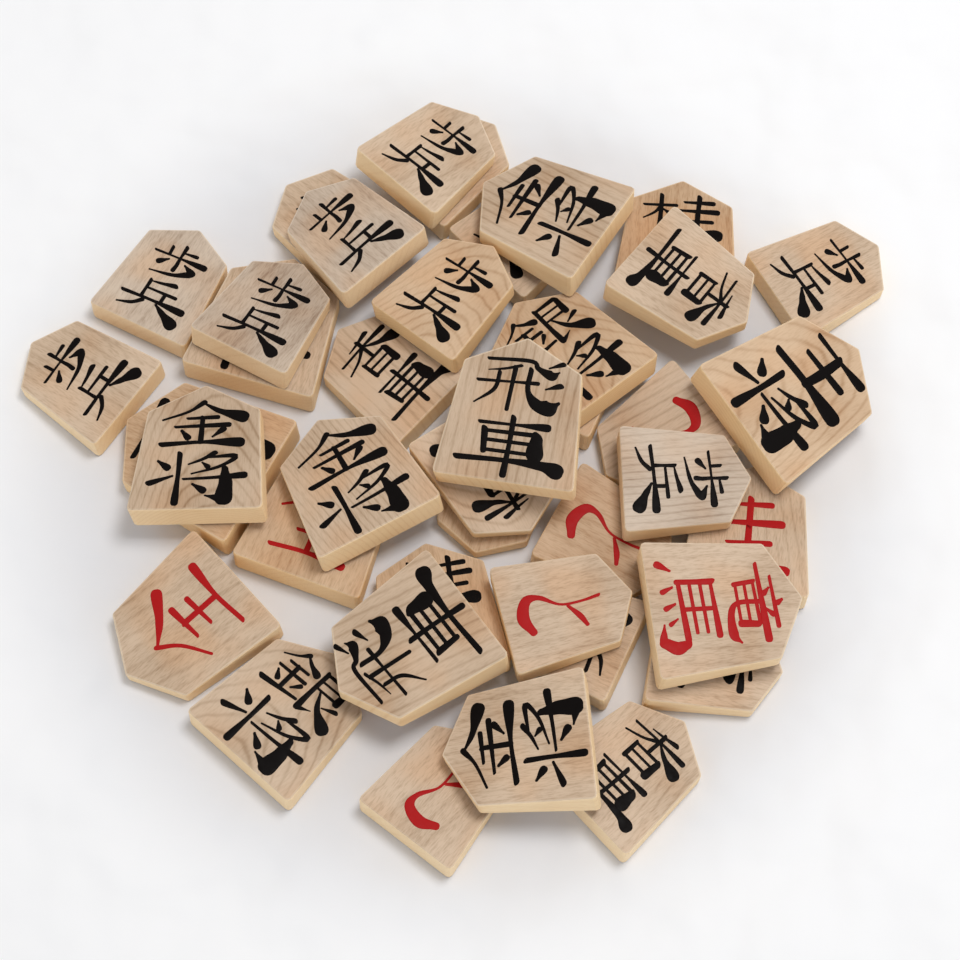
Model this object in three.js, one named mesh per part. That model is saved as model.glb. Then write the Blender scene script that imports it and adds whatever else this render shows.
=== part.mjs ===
// A full set of forty shogi pieces, tipped out in a heap on a table.
// Millimetres, +Z up. The viewer stands at -Y. The origin is on the table, in the middle of the heap.
import * as THREE from 'three';

// Sizes of each rank: base width, length from base to apex, and thickness at the base.
const RANKS = {
  king: { width: 28.5, length: 30.8, thickness: 7.5 },
  rook: { width: 27.2, length: 29.3, thickness: 7.0 },
  bishop: { width: 27.2, length: 29.3, thickness: 7.0 },
  gold: { width: 26.2, length: 27.9, thickness: 6.6 },
  silver: { width: 26.2, length: 27.9, thickness: 6.6 },
  knight: { width: 24.8, length: 26.9, thickness: 6.4 },
  lance: { width: 23.6, length: 26.5, thickness: 6.2 },
  pawn: { width: 21.8, length: 25.1, thickness: 6.1 },
};

// Angles that every rank shares, in degrees.
const SIDE_LEAN = 5.4; // each side leans in from the base to the shoulder
const CROWN_SLOPE = 27.7; // each crown edge falls from the apex to the shoulder
const FACE_TAPER = 3.2; // each face falls towards the middle plane, so the apex is thin

// Softened edges.
const edgeRadius = 0.35; // round between a face and a wall
const faceCornerRadius = 0.5; // round left at the corners of a face
const ROUND_STEPS = 2; // facets in each quarter round

// The heap.
const SPREAD = 3; // one whole share of x or y, as a count of pawn lengths
const heapReach = SPREAD * RANKS.pawn.length;
const seatClearance = 0.3; // gap kept under a piece that lies on others
const MAX_TILT = 30; // degrees; the steepest that a piece may lean

// Search for the tilt at which a piece comes to rest, in degrees.
const TILT_STEPS = [6, 3, 1.5, 0.7, 0.3, 0.1, 0.04];
const TILT_STARTS = [[0, 0], [6, 0], [-6, 0], [0, 6], [0, -6]];
const SEARCH_DIRECTIONS = 24;
const BALANCE_SLICES = 200; // slices that a piece is summed in to find its centre of mass

// Colours of the wood, from pale maple to orange and grey boards.
const TONES = {
  pale: 0xcdb28f,
  warm: 0xcfa676,
  grey: 0xbda78f,
};
const WOOD_ROUGHNESS = 0.55;

// Where each piece lies, the bottom of the heap first: name, rank, x and y as shares of heapReach, the
// turn in degrees anticlockwise seen from above (0 points the apex away from the viewer), the side that
// is up, and the tone of the wood.
const placeShares = [
  ['pawn_01', 'pawn', -0.103, 0.886, -46, 'front', 'pale'],
  ['pawn_02', 'pawn', -0.374, 0.705, 48, 'front', 'pale'],
  ['pawn_03', 'pawn', 0.108, 0.677, -46, 'front', 'pale'],
  ['pawn_04', 'pawn', -0.841, 0.524, -27, 'front', 'grey'],
  ['pawn_05', 'pawn', -1.016, 0.257, 55, 'front', 'pale'],
  ['knight_1', 'knight', 0.525, 0.637, -6, 'front', 'warm'],
  ['pawn_06', 'pawn', 0.89, 0.557, -60, 'front', 'pale'],
  ['lance_1', 'lance', 0.35, -0.803, -48, 'front', 'pale'],
  ['pawn_07', 'pawn', -0.105, -0.855, -38, 'back', 'pale'],
  ['pawn_08', 'pawn', 0.25, -0.438, 65, 'front', 'pale'],
  ['pawn_09', 'pawn', 0.56, -0.498, -100, 'front', 'pale'],
  ['knight_2', 'knight', 0.68, -0.193, -7, 'back', 'pale'],
  ['pawn_10', 'pawn', 0.485, 0.117, 127, 'back', 'pale'],
  ['pawn_11', 'pawn', 0.31, -0.168, -118, 'back', 'warm'],
  ['lance_2', 'lance', -0.215, 0.269, 48, 'front', 'pale'],
  ['knight_3', 'knight', 0.20, 0.282, -28, 'front', 'warm'],
  ['pawn_12', 'pawn', 0.04, -0.023, 165, 'front', 'warm'],
  ['knight_4', 'knight', -0.105, -0.403, 9, 'front', 'warm'],
  ['silver_1', 'silver', -0.415, -0.16, -21, 'back', 'warm'],
  ['king_1', 'king', -0.698, 0.033, 62, 'front', 'warm'],
  ['silver_2', 'silver', -0.718, -0.392, 132, 'back', 'pale'],
  ['silver_3', 'silver', -0.50, -0.656, -42, 'front', 'pale'],
  ['bishop_1', 'bishop', -0.562, 0.39, -17, 'front', 'pale'],
  ['silver_4', 'silver', 0.235, 0.285, 40, 'front', 'warm'],
  ['lance_3', 'lance', 0.02, 0.005, -149, 'front', 'pale'],
  ['pawn_13', 'pawn', -0.14, 0.875, -43, 'front', 'pale'],
  ['pawn_14', 'pawn', -0.33, 0.64, 42, 'front', 'grey'],
  ['pawn_15', 'pawn', -0.09, 0.455, -40, 'front', 'warm'],
  ['pawn_16', 'pawn', -0.563, 0.399, -29, 'front', 'grey'],
  ['gold_1', 'gold', -0.709, -0.009, -1, 'front', 'pale'],
  ['gold_2', 'gold', -0.312, -0.075, 28, 'front', 'pale'],
  ['gold_3', 'gold', 0.2, 0.693, 59, 'front', 'pale'],
  ['lance_4', 'lance', 0.525, 0.514, -128, 'front', 'pale'],
  ['rook_1', 'rook', -0.154, -0.48, 125, 'front', 'pale'],
  ['gold_4', 'gold', 0.13, -0.745, 95, 'front', 'pale'],
  ['pawn_17', 'pawn', 0.187, -0.399, -76, 'back', 'pale'],
  ['pawn_18', 'pawn', 0.49, -0.05, -88, 'front', 'grey'],
  ['bishop_2', 'bishop', 0.57, -0.398, -83, 'back', 'pale'],
  ['king_2', 'king', 0.784, 0.176, -54, 'front', 'warm'],
  ['rook_2', 'rook', 0.085, 0.056, -10, 'front', 'pale'],
];

const radians = THREE.MathUtils.degToRad;

// Corners of a rank's outline in the middle plane, anticlockwise from the left base corner.
// The base is on y = 0 and the apex is on the y axis.
function outlineCorners({ width, length }) {
  const lean = Math.tan(radians(SIDE_LEAN));
  const slope = Math.tan(radians(CROWN_SLOPE));
  const shoulderY = (length - (slope * width) / 2) / (1 - lean * slope);
  const shoulderX = width / 2 - lean * shoulderY;
  return [
    new THREE.Vector2(-width / 2, 0),
    new THREE.Vector2(width / 2, 0),
    new THREE.Vector2(shoulderX, shoulderY),
    new THREE.Vector2(0, length),
    new THREE.Vector2(-shoulderX, shoulderY),
  ];
}

// Half the thickness of a rank at a distance y from its base.
function halfThickness(rank, y) {
  return rank.thickness / 2 - y * Math.tan(radians(FACE_TAPER));
}

// The point at a distance from another, in the direction of an angle.
function polar(from, angle, distance) {
  return new THREE.Vector2(from.x + distance * Math.cos(angle), from.y + distance * Math.sin(angle));
}

// The outward direction of each edge of an outline, as an angle. Edge i starts at corner i.
function edgeAngles(corners) {
  return corners.map((corner, i) => {
    const next = corners[(i + 1) % corners.length];
    return Math.atan2(next.y - corner.y, next.x - corner.x) - Math.PI / 2;
  });
}

// Centres of the rounds at the corners: where the edges meet once they are moved in by the radius.
function roundCentres(corners, angles, radius) {
  return corners.map((corner, i) => {
    const before = angles[(i + corners.length - 1) % corners.length];
    const turn = THREE.MathUtils.euclideanModulo(angles[i] - before, 2 * Math.PI);
    const middle = before + turn / 2;
    const reach = radius / Math.cos(turn / 2);
    return polar(corner, middle, -reach);
  });
}

// The outline moved in by inset, with its corners rounded, as points in order round the piece.
function roundedOutline(rank, inset) {
  const corners = outlineCorners(rank);
  const angles = edgeAngles(corners);
  const radius = faceCornerRadius + edgeRadius;
  const points = [];
  roundCentres(corners, angles, radius).forEach((centre, i) => {
    const before = angles[(i + corners.length - 1) % corners.length];
    const turn = THREE.MathUtils.euclideanModulo(angles[i] - before, 2 * Math.PI);
    for (let step = 0; step <= ROUND_STEPS; step += 1) {
      points.push(polar(centre, before + (turn * step) / ROUND_STEPS, radius - inset));
    }
  });
  return points;
}

// Rings of points from the lower face up to the upper one: a quarter round, the wall, a quarter round.
function pieceRings(rank) {
  const lower = [];
  const upper = [];
  for (let step = 0; step <= ROUND_STEPS; step += 1) {
    const angle = ((Math.PI / 2) * step) / ROUND_STEPS;
    const inset = edgeRadius * (1 - Math.sin(angle));
    const depth = edgeRadius * (1 - Math.cos(angle));
    const outline = roundedOutline(rank, inset);
    lower.push(outline.map((p) => new THREE.Vector3(p.x, p.y, depth - halfThickness(rank, p.y))));
    upper.unshift(outline.map((p) => new THREE.Vector3(p.x, p.y, halfThickness(rank, p.y) - depth)));
  }
  return [...lower, ...upper];
}

// A closed geometry from a stack of rings with equal counts, capped flat at both ends.
function geometryFromRings(rings) {
  const count = rings[0].length;
  const index = [];
  for (let ring = 0; ring + 1 < rings.length; ring += 1) {
    for (let i = 0; i < count; i += 1) {
      const here = ring * count + i;
      const beside = ring * count + ((i + 1) % count);
      index.push(here, beside, beside + count, here, beside + count, here + count);
    }
  }
  const top = (rings.length - 1) * count;
  for (let i = 1; i + 1 < count; i += 1) {
    index.push(0, i + 1, i);
    index.push(top, top + i, top + i + 1);
  }
  const geometry = new THREE.BufferGeometry().setFromPoints(rings.flat());
  geometry.setIndex(index);
  return geometry;
}

// The distance from the base to the piece's centre of mass, which lies on the y axis. The piece is
// summed in thin slices, and each slice weighs its width times its thickness.
function balanceDistance(rank) {
  const corners = outlineCorners(rank);
  const shoulder = corners[2];
  let weight = 0;
  let moment = 0;
  for (let i = 0; i < BALANCE_SLICES; i += 1) {
    const y = (rank.length * (i + 0.5)) / BALANCE_SLICES;
    const sideX = THREE.MathUtils.mapLinear(y, 0, shoulder.y, rank.width / 2, shoulder.x);
    const crownX = THREE.MathUtils.mapLinear(y, shoulder.y, rank.length, shoulder.x, 0);
    const slice = Math.min(sideX, crownX) * halfThickness(rank, y);
    weight += slice;
    moment += slice * y;
  }
  return moment / weight;
}

// The sharp-edged wedge that a piece is cut from, measured from its centre of mass. Pieces are seated
// by their wedges, so that the rounded pieces inside them never meet.
function wedgeOf(rank) {
  const corners = outlineCorners(rank);
  const sides = corners.length;
  const balance = balanceDistance(rank);
  const lower = corners.map((c) => new THREE.Vector3(c.x, c.y - balance, -halfThickness(rank, c.y)));
  const upper = corners.map((c) => new THREE.Vector3(c.x, c.y - balance, halfThickness(rank, c.y)));
  const faces = [[0, 2, 1], [sides, sides + 1, sides + 2]];
  const edges = [];
  for (let i = 0; i < sides; i += 1) {
    const next = (i + 1) % sides;
    faces.push([i, next, sides + next]);
    edges.push([i, next], [sides + i, sides + next], [i, sides + i]);
  }
  return { points: [...lower, ...upper], faces, edges };
}

// A wedge turned by a quaternion, with the planes of its faces.
function turnedWedge(wedge, quaternion) {
  const points = wedge.points.map((p) => p.clone().applyQuaternion(quaternion));
  const planes = wedge.faces.map((face) => {
    const [a, b, c] = face.map((i) => points[i]);
    return new THREE.Plane().setFromCoplanarPoints(a, b, c);
  });
  return { points, planes, edges: wedge.edges };
}

// The heights at which the upright line through x, y enters and leaves a wedge, or null if it misses.
function spanAt(solid, x, y) {
  let low = -Infinity;
  let high = Infinity;
  for (const { normal, constant } of solid.planes) {
    const reach = -constant - normal.x * x - normal.y * y;
    if (Math.abs(normal.z) < Number.EPSILON * 8) {
      if (reach < 0) return null;
    } else if (normal.z > 0) {
      high = Math.min(high, reach / normal.z);
    } else {
      low = Math.max(low, reach / normal.z);
    }
  }
  return low < high ? { low, high } : null;
}

// Where two edges cross as seen from above, as the shares along each of them, or null.
function planCrossing(a, b, c, d) {
  const abX = b.x - a.x;
  const abY = b.y - a.y;
  const cdX = d.x - c.x;
  const cdY = d.y - c.y;
  const turn = abX * cdY - abY * cdX;
  if (turn === 0) return null;
  const alongAb = ((c.x - a.x) * cdY - (c.y - a.y) * cdX) / turn;
  const alongCd = ((c.x - a.x) * abY - (c.y - a.y) * abX) / turn;
  if (alongAb < 0 || alongAb > 1 || alongCd < 0 || alongCd > 1) return null;
  return { alongAb, alongCd };
}

// How far the moving wedge must rise, from its height at zero, to lie on the fixed one.
function liftOver(moving, fixed) {
  let lift = -Infinity;
  for (const p of moving.points) {
    const span = spanAt(fixed, p.x, p.y);
    if (span) lift = Math.max(lift, span.high - p.z);
  }
  for (const p of fixed.points) {
    const span = spanAt(moving, p.x, p.y);
    if (span) lift = Math.max(lift, p.z - span.low);
  }
  for (const [i, j] of moving.edges) {
    for (const [k, l] of fixed.edges) {
      const [a, b, c, d] = [moving.points[i], moving.points[j], fixed.points[k], fixed.points[l]];
      const crossing = planCrossing(a, b, c, d);
      if (crossing) {
        const movingZ = THREE.MathUtils.lerp(a.z, b.z, crossing.alongAb);
        const fixedZ = THREE.MathUtils.lerp(c.z, d.z, crossing.alongCd);
        lift = Math.max(lift, fixedZ - movingZ);
      }
    }
  }
  return lift;
}

// The height of a piece's centre of mass as it lies, turned this way, on the table and the pieces below.
function restingHeight(wedge, centre, quaternion, below) {
  const moving = turnedWedge(wedge, quaternion);
  moving.points.forEach((p) => p.setX(p.x + centre.x).setY(p.y + centre.y));
  moving.planes.forEach((plane) => {
    plane.constant -= plane.normal.x * centre.x + plane.normal.y * centre.y;
  });
  const overTable = Math.max(...moving.points.map((p) => -p.z));
  const overPieces = below.map((fixed) => liftOver(moving, fixed) + seatClearance);
  return Math.max(overTable, ...overPieces);
}

// The way a piece faces: its side up, lying flat on one face, turned, then tilted about a level axis.
function facing(turn, side, tiltX, tiltY) {
  const about = (axis, angle) => new THREE.Quaternion().setFromAxisAngle(axis, radians(angle));
  const flip = about(new THREE.Vector3(0, 1, 0), side === 'back' ? 180 : 0);
  const lie = about(new THREE.Vector3(1, 0, 0), -FACE_TAPER);
  const spin = about(new THREE.Vector3(0, 0, 1), turn);
  const lean = about(new THREE.Vector3(tiltX, tiltY, 0).normalize(), Math.hypot(tiltX, tiltY));
  return lean.multiply(spin).multiply(lie).multiply(flip);
}

// The lowest tilt that is reached from a start by steps downhill, which grow shorter and shorter.
function tiltDownhill(start, heightAt) {
  let here = { tilt: start, height: heightAt(...start) };
  for (const step of TILT_STEPS) {
    let moved = true;
    while (moved) {
      moved = false;
      for (let i = 0; i < SEARCH_DIRECTIONS; i += 1) {
        const angle = (2 * Math.PI * i) / SEARCH_DIRECTIONS;
        const tilt = [here.tilt[0] + step * Math.cos(angle), here.tilt[1] + step * Math.sin(angle)];
        const height = Math.hypot(...tilt) <= MAX_TILT ? heightAt(...tilt) : Infinity;
        if (height < here.height) {
          here = { tilt, height };
          moved = true;
        }
      }
    }
  }
  return here;
}

// Lets a piece come to rest: it keeps its place and turn, and lies flat on the table if nothing is in
// the way. Otherwise it tilts until its centre of mass is lowest.
function settle(wedge, centre, turn, side, below) {
  const heightAt = (x, y) => restingHeight(wedge, centre, facing(turn, side, x, y), below);
  const heightOnTable = restingHeight(wedge, centre, facing(turn, side, 0, 0), []);
  let rest = { tilt: [0, 0], height: heightAt(0, 0) };
  if (rest.height > heightOnTable) {
    for (const start of TILT_STARTS) {
      const found = tiltDownhill(start, heightAt);
      if (found.height < rest.height) rest = found;
    }
  }
  return { quaternion: facing(turn, side, ...rest.tilt), height: rest.height };
}

// One piece as a mesh, with its origin at its centre of mass.
function pieceMesh(name, rank, tone) {
  const geometry = geometryFromRings(pieceRings(rank));
  geometry.translate(0, -balanceDistance(rank), 0);
  const material = new THREE.MeshStandardMaterial({ color: TONES[tone], roughness: WOOD_ROUGHNESS });
  const mesh = new THREE.Mesh(geometry, material);
  mesh.name = name;
  return mesh;
}

// Every piece in turn, from the bottom of the heap, laid on those that are there.
function heapOfPieces() {
  const heap = new THREE.Group();
  const laid = [];
  for (const [name, rankName, xShare, yShare, turn, side, tone] of placeShares) {
    const rank = RANKS[rankName];
    const wedge = wedgeOf(rank);
    const centre = new THREE.Vector3(xShare * heapReach, yShare * heapReach, 0);
    const reach = Math.max(...wedge.points.map((p) => p.length()));
    const below = laid.filter((other) => other.centre.distanceTo(centre) < other.reach + reach);
    const { quaternion, height } = settle(wedge, centre, turn, side, below.map((other) => other.solid));
    const mesh = pieceMesh(name, rank, tone);
    mesh.quaternion.copy(quaternion);
    mesh.position.set(centre.x, centre.y, height);
    heap.add(mesh);
    const solid = turnedWedge(wedge, quaternion);
    solid.points.forEach((p) => p.add(mesh.position));
    solid.planes.forEach((plane) => {
      plane.constant -= plane.normal.dot(mesh.position);
    });
    laid.push({ centre, reach, solid });
  }
  return heap;
}

const heap = heapOfPieces();
const box = new THREE.Box3().setFromObject(heap, true);
heap.position.set(-(box.min.x + box.max.x) / 2, -(box.min.y + box.max.y) / 2, -box.min.z);

const shogiPieces = new THREE.Group();
shogiPieces.add(heap);

export default shogiPieces;
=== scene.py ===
"""Looks of a set of shogi pieces that lies in a heap: maple wood, brushed marks, cloth and light.

Lengths are in metres unless a name ends in _mm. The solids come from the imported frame.
"""

import logging
import math
from dataclasses import dataclass, field
from enum import Enum

import bpy
import numpy as np
from mathutils import Matrix, Vector


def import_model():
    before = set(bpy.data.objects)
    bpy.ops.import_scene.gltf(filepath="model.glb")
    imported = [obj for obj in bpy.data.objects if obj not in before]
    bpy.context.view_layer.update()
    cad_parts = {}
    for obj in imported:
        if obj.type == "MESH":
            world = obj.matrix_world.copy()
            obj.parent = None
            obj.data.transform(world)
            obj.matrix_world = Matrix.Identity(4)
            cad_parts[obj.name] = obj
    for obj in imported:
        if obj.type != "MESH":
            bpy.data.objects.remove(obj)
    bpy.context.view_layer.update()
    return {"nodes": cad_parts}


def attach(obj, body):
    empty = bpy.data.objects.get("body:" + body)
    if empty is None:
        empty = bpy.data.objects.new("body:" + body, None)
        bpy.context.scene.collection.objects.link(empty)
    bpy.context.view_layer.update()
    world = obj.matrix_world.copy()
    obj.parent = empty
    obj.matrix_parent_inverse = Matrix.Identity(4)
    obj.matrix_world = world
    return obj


log = logging.getLogger("shogi_heap")

Material = bpy.types.Material
Node = bpy.types.Node
Socket = bpy.types.NodeSocket
Tree = bpy.types.NodeTree
# A value's start, and how far each of a piece's two own numbers moves it.
Spread = tuple[float, float, float]
# The middle, width and height of one character's place, as shares of the face.
Box = tuple[float, float, float]

MM = 0.001
GOLDEN = 0.6180339887
SECOND_STRIDE = 7
# At scale 1 the wave texture's rings turn by this many radians over one unit.
WAVE_RATE = 20.0
# Triangles whose directions agree this well lie in one plane, and one of less doubled area is a sliver.
SAME_PLANE = 0.9995
SLIVER_AREA = 1e-12
# The corners of a square whose half size is 1, in order round it.
SQUARE = ((-1, -1), (1, -1), (1, 1), (-1, 1))


class Rank(Enum):
    """The eight kinds of piece, by the word that their nodes start with."""

    KING = "king"
    ROOK = "rook"
    BISHOP = "bishop"
    GOLD = "gold"
    SILVER = "silver"
    KNIGHT = "knight"
    LANCE = "lance"
    PAWN = "pawn"


class Grain(Enum):
    """How the board that a piece was sawn from shows its year rings on the face."""

    STRIPED = "striped"
    CATHEDRAL = "cathedral"
    FLECKED = "flecked"


class Tone(Enum):
    """The colour of the maple, from the record's three slots."""

    PALE = "wood_pale"
    WARM = "wood_warm"
    GREY = "wood_grey"


class Glyph(Enum):
    """The characters that name the ranks, as every set of this game has them."""

    KING = "王"
    JEWEL = "玉"
    GENERAL = "将"
    FLY = "飛"
    CART = "車"
    CORNER = "角"
    GO = "行"
    GOLD = "金"
    SILVER = "銀"
    LAUREL = "桂"
    HORSE = "馬"
    INCENSE = "香"
    WALK = "歩"
    SOLDIER = "兵"
    DRAGON = "竜"
    GAINED_SILVER = "全"
    GAINED_KNIGHT = "圭"
    GAINED_LANCE = "杏"
    GAINED_PAWN = "と"


# Each stroke is a row of (across, up, brush width), in hundredths of the width of the character's box,
# of its height and of the mean of both.
HUNDREDTHS = 100
STROKES: dict[Glyph, tuple[tuple[tuple[float, float, float], ...], ...]] = {
    Glyph.KING: (
        ((14, 90, 7), (50, 91, 6), (86, 94, 11)),
        ((50, 90, 10), (51, 50, 11), (50, 8, 10)),
        ((22, 51, 7), (78, 55, 9)),
        ((2, 5, 9), (46, 9, 9), (98, 8, 15)),
    ),
    Glyph.JEWEL: (
        ((14, 90, 7), (50, 91, 6), (86, 94, 11)),
        ((50, 90, 10), (51, 50, 11), (50, 8, 10)),
        ((22, 53, 7), (78, 56, 9)),
        ((2, 5, 9), (46, 9, 9), (98, 8, 15)),
        ((64, 38, 5), (76, 27, 9)),
    ),
    Glyph.GENERAL: (
        ((8, 84, 5), (18, 70, 10)),
        ((1, 38, 9), (24, 52, 5)),
        ((30, 98, 8), (30, 50, 7), (29, -3, 10)),
        ((66, 99, 8), (54, 86, 6), (40, 76, 4)),
        ((60, 90, 5), (88, 91, 8), (72, 70, 6), (44, 56, 4)),
        ((54, 79, 4), (60, 70, 8)),
        ((36, 45, 5), (66, 47, 6), (98, 51, 10)),
        ((78, 66, 9), (80, 36, 15), (79, 6, 18)),
        ((75, 3, 11), (60, 10, 4)),
        ((46, 34, 5), (57, 21, 10)),
    ),
    Glyph.FLY: (
        ((10, 90, 6), (58, 95, 7), (68, 82, 8), (84, 72, 13), (92, 80, 4)),
        ((95, 97, 8), (80, 86, 4)),
        ((48, 84, 6), (30, 74, 5), (12, 68, 3)),
        ((42, 78, 8), (41, 38, 7), (40, -4, 7)),
        ((2, 46, 6), (40, 50, 5), (70, 53, 7)),
        ((25, 66, 7), (22, 32, 7), (2, 2, 4)),
        ((60, 78, 8), (60, 38, 8), (72, 12, 14), (87, 8, 18), (97, 20, 6)),
        ((96, 54, 9), (80, 44, 4)),
    ),
    Glyph.CART: (
        ((18, 84, 6), (52, 86, 5), (84, 88, 10)),
        ((24, 72, 9), (26, 34, 8)),
        ((24, 70, 6), (72, 72, 7)),
        ((76, 67, 13), (76, 40, 17)),
        ((27, 54, 6), (72, 55, 6)),
        ((27, 36, 6), (72, 37, 6)),
        ((1, 17, 8), (46, 21, 7), (82, 20, 11), (99, 14, 16)),
        ((50, 98, 8), (50, 46, 7), (49, -4, 9)),
    ),
    Glyph.CORNER: (
        ((46, 99, 8), (32, 86, 6), (14, 76, 4)),
        ((38, 89, 5), (66, 91, 9), (54, 77, 5)),
        ((26, 74, 9), (25, 34, 8), (6, 0, 5)),
        ((26, 73, 6), (78, 75, 8)),
        ((81, 72, 10), (81, 40, 12), (80, 6, 15)),
        ((77, 3, 10), (64, 8, 4)),
        ((28, 53, 6), (76, 54, 6)),
        ((28, 33, 6), (76, 34, 6)),
        ((52, 74, 7), (52, 4, 8)),
    ),
    Glyph.GO: (
        ((36, 99, 9), (22, 84, 6), (4, 74, 4)),
        ((40, 72, 9), (24, 52, 6), (0, 38, 4)),
        ((25, 54, 8), (24, 24, 9), (24, -4, 10)),
        ((50, 84, 7), (90, 87, 10)),
        ((42, 58, 7), (98, 61, 11)),
        ((74, 58, 10), (76, 30, 13), (74, 6, 16)),
        ((71, 3, 10), (54, 10, 4)),
    ),
    Glyph.GOLD: (
        ((50, 99, 9), (32, 78, 6), (2, 60, 5)),
        ((50, 97, 5), (70, 78, 9), (98, 64, 16)),
        ((32, 62, 6), (68, 64, 8)),
        ((18, 43, 6), (82, 46, 9)),
        ((50, 63, 8), (50, 8, 9)),
        ((26, 34, 6), (34, 18, 10)),
        ((76, 36, 10), (64, 19, 5)),
        ((3, 3, 9), (50, 7, 7), (97, 5, 14)),
    ),
    Glyph.SILVER: (
        ((26, 99, 8), (16, 84, 5), (1, 70, 4)),
        ((26, 97, 5), (36, 86, 7), (48, 78, 11)),
        ((14, 66, 6), (40, 68, 6)),
        ((7, 48, 6), (45, 50, 7)),
        ((26, 66, 8), (26, 14, 8)),
        ((10, 38, 5), (16, 24, 9)),
        ((44, 40, 8), (36, 26, 5)),
        ((1, 6, 9), (50, 15, 6)),
        ((57, 94, 6), (88, 96, 8)),
        ((90, 93, 9), (89, 60, 11)),
        ((60, 77, 5), (88, 78, 5)),
        ((60, 60, 5), (88, 61, 6)),
        ((58, 95, 8), (57, 50, 8), (57, 6, 10)),
        ((58, 5, 8), (73, 16, 3)),
        ((96, 46, 8), (80, 35, 4)),
        ((66, 57, 5), (78, 26, 9), (98, 4, 16)),
    ),
    Glyph.LAUREL: (
        ((2, 70, 6), (44, 74, 7)),
        ((24, 97, 8), (24, 50, 8), (24, 0, 10)),
        ((23, 68, 7), (16, 52, 6), (2, 36, 4)),
        ((27, 62, 5), (42, 46, 11)),
        ((55, 84, 6), (92, 86, 9)),
        ((74, 99, 9), (73, 58, 8)),
        ((48, 62, 6), (98, 64, 10)),
        ((54, 36, 6), (92, 38, 8)),
        ((73, 58, 9), (73, 8, 9)),
        ((44, 4, 8), (72, 7, 8), (99, 5, 17)),
    ),
    Glyph.HORSE: (
        ((26, 93, 9), (25, 60, 8), (24, 34, 8)),
        ((26, 91, 6), (80, 94, 9)),
        ((53, 91, 7), (52, 38, 7)),
        ((28, 73, 6), (76, 75, 6)),
        ((28, 55, 6), (76, 57, 6)),
        ((24, 36, 7), (82, 40, 9)),
        ((87, 38, 11), (90, 20, 15), (84, 0, 13)),
        ((80, -2, 10), (66, 3, 4)),
        ((12, 25, 5), (5, 6, 10)),
        ((29, 25, 5), (33, 8, 8)),
        ((46, 26, 5), (50, 10, 8)),
        ((61, 27, 4), (66, 14, 7)),
    ),
    Glyph.INCENSE: (
        ((70, 99, 9), (48, 92, 6), (30, 88, 4)),
        ((6, 73, 6), (50, 78, 6), (94, 79, 10)),
        ((50, 94, 9), (50, 70, 8), (50, 46, 8)),
        ((48, 76, 8), (30, 58, 6), (4, 44, 5)),
        ((52, 76, 5), (72, 58, 9), (97, 46, 17)),
        ((29, 40, 8), (30, 0, 9)),
        ((29, 39, 6), (68, 41, 7)),
        ((72, 38, 11), (71, 0, 13)),
        ((32, 21, 6), (68, 22, 6)),
        ((32, 1, 7), (70, 2, 7)),
    ),
    Glyph.WALK: (
        ((50, 99, 9), (50, 62, 7)),
        ((52, 81, 6), (74, 85, 9)),
        ((28, 85, 8), (29, 62, 8)),
        ((4, 57, 7), (46, 61, 6), (95, 64, 13)),
        ((50, 58, 8), (51, 38, 9), (50, 22, 10)),
        ((33, 47, 6), (20, 30, 12)),
        ((64, 48, 6), (82, 34, 14)),
        ((78, 27, 13), (54, 8, 9), (14, -4, 5)),
    ),
    Glyph.SOLDIER: (
        ((68, 99, 10), (48, 91, 7), (30, 86, 4)),
        ((31, 88, 8), (31, 60, 7), (31, 40, 8)),
        ((34, 66, 6), (78, 69, 8)),
        ((62, 66, 8), (62, 42, 8)),
        ((2, 34, 8), (48, 39, 7), (97, 40, 13)),
        ((36, 30, 9), (24, 12, 8), (4, 0, 5)),
        ((58, 32, 6), (74, 17, 11), (93, 1, 18)),
    ),
    Glyph.DRAGON: (
        ((50, 100, 6), (53, 92, 9)),
        ((22, 84, 6), (80, 87, 8)),
        ((35, 79, 5), (41, 69, 9)),
        ((66, 80, 9), (59, 69, 5)),
        ((6, 61, 7), (94, 65, 11)),
        ((26, 52, 8), (28, 16, 8)),
        ((26, 51, 6), (74, 54, 7)),
        ((76, 51, 10), (74, 20, 11)),
        ((30, 35, 6), (72, 36, 6)),
        ((30, 18, 6), (72, 19, 6)),
        ((50, 62, 8), (50, 18, 8), (62, 3, 10), (86, 2, 13), (96, 14, 5)),
    ),
    Glyph.GAINED_SILVER: (
        ((50, 99, 7), (32, 76, 6), (0, 56, 5)),
        ((50, 97, 5), (72, 76, 10), (99, 58, 13)),
        ((28, 54, 6), (72, 57, 9)),
        ((30, 32, 6), (70, 35, 8)),
        ((50, 56, 8), (50, 8, 8)),
        ((6, 3, 7), (50, 7, 7), (95, 5, 11)),
    ),
    Glyph.GAINED_KNIGHT: (
        ((26, 90, 6), (76, 93, 9)),
        ((50, 99, 9), (50, 58, 9)),
        ((10, 64, 7), (90, 68, 11)),
        ((24, 37, 6), (77, 40, 9)),
        ((50, 62, 9), (50, 8, 10)),
        ((2, 4, 9), (50, 7, 8), (98, 5, 13)),
    ),
    Glyph.GAINED_LANCE: (
        ((8, 79, 7), (92, 83, 11)),
        ((50, 99, 9), (50, 46, 9)),
        ((48, 79, 8), (30, 60, 6), (2, 46, 5)),
        ((52, 79, 5), (72, 62, 9), (98, 48, 13)),
        ((29, 36, 8), (31, 0, 9)),
        ((29, 35, 6), (70, 38, 8)),
        ((72, 34, 10), (70, 2, 11)),
        ((32, 3, 7), (68, 4, 7)),
    ),
    Glyph.GAINED_PAWN: (
        ((50, 60, 6), (68, 72, 9), (82, 78, 7)),
        ((44, 102, 6), (47, 76, 5), (45, 50, 5), (29, 26, 8), (31, 8, 13), (54, 0, 15), (76, 8, 11)),
    ),
}

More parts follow.
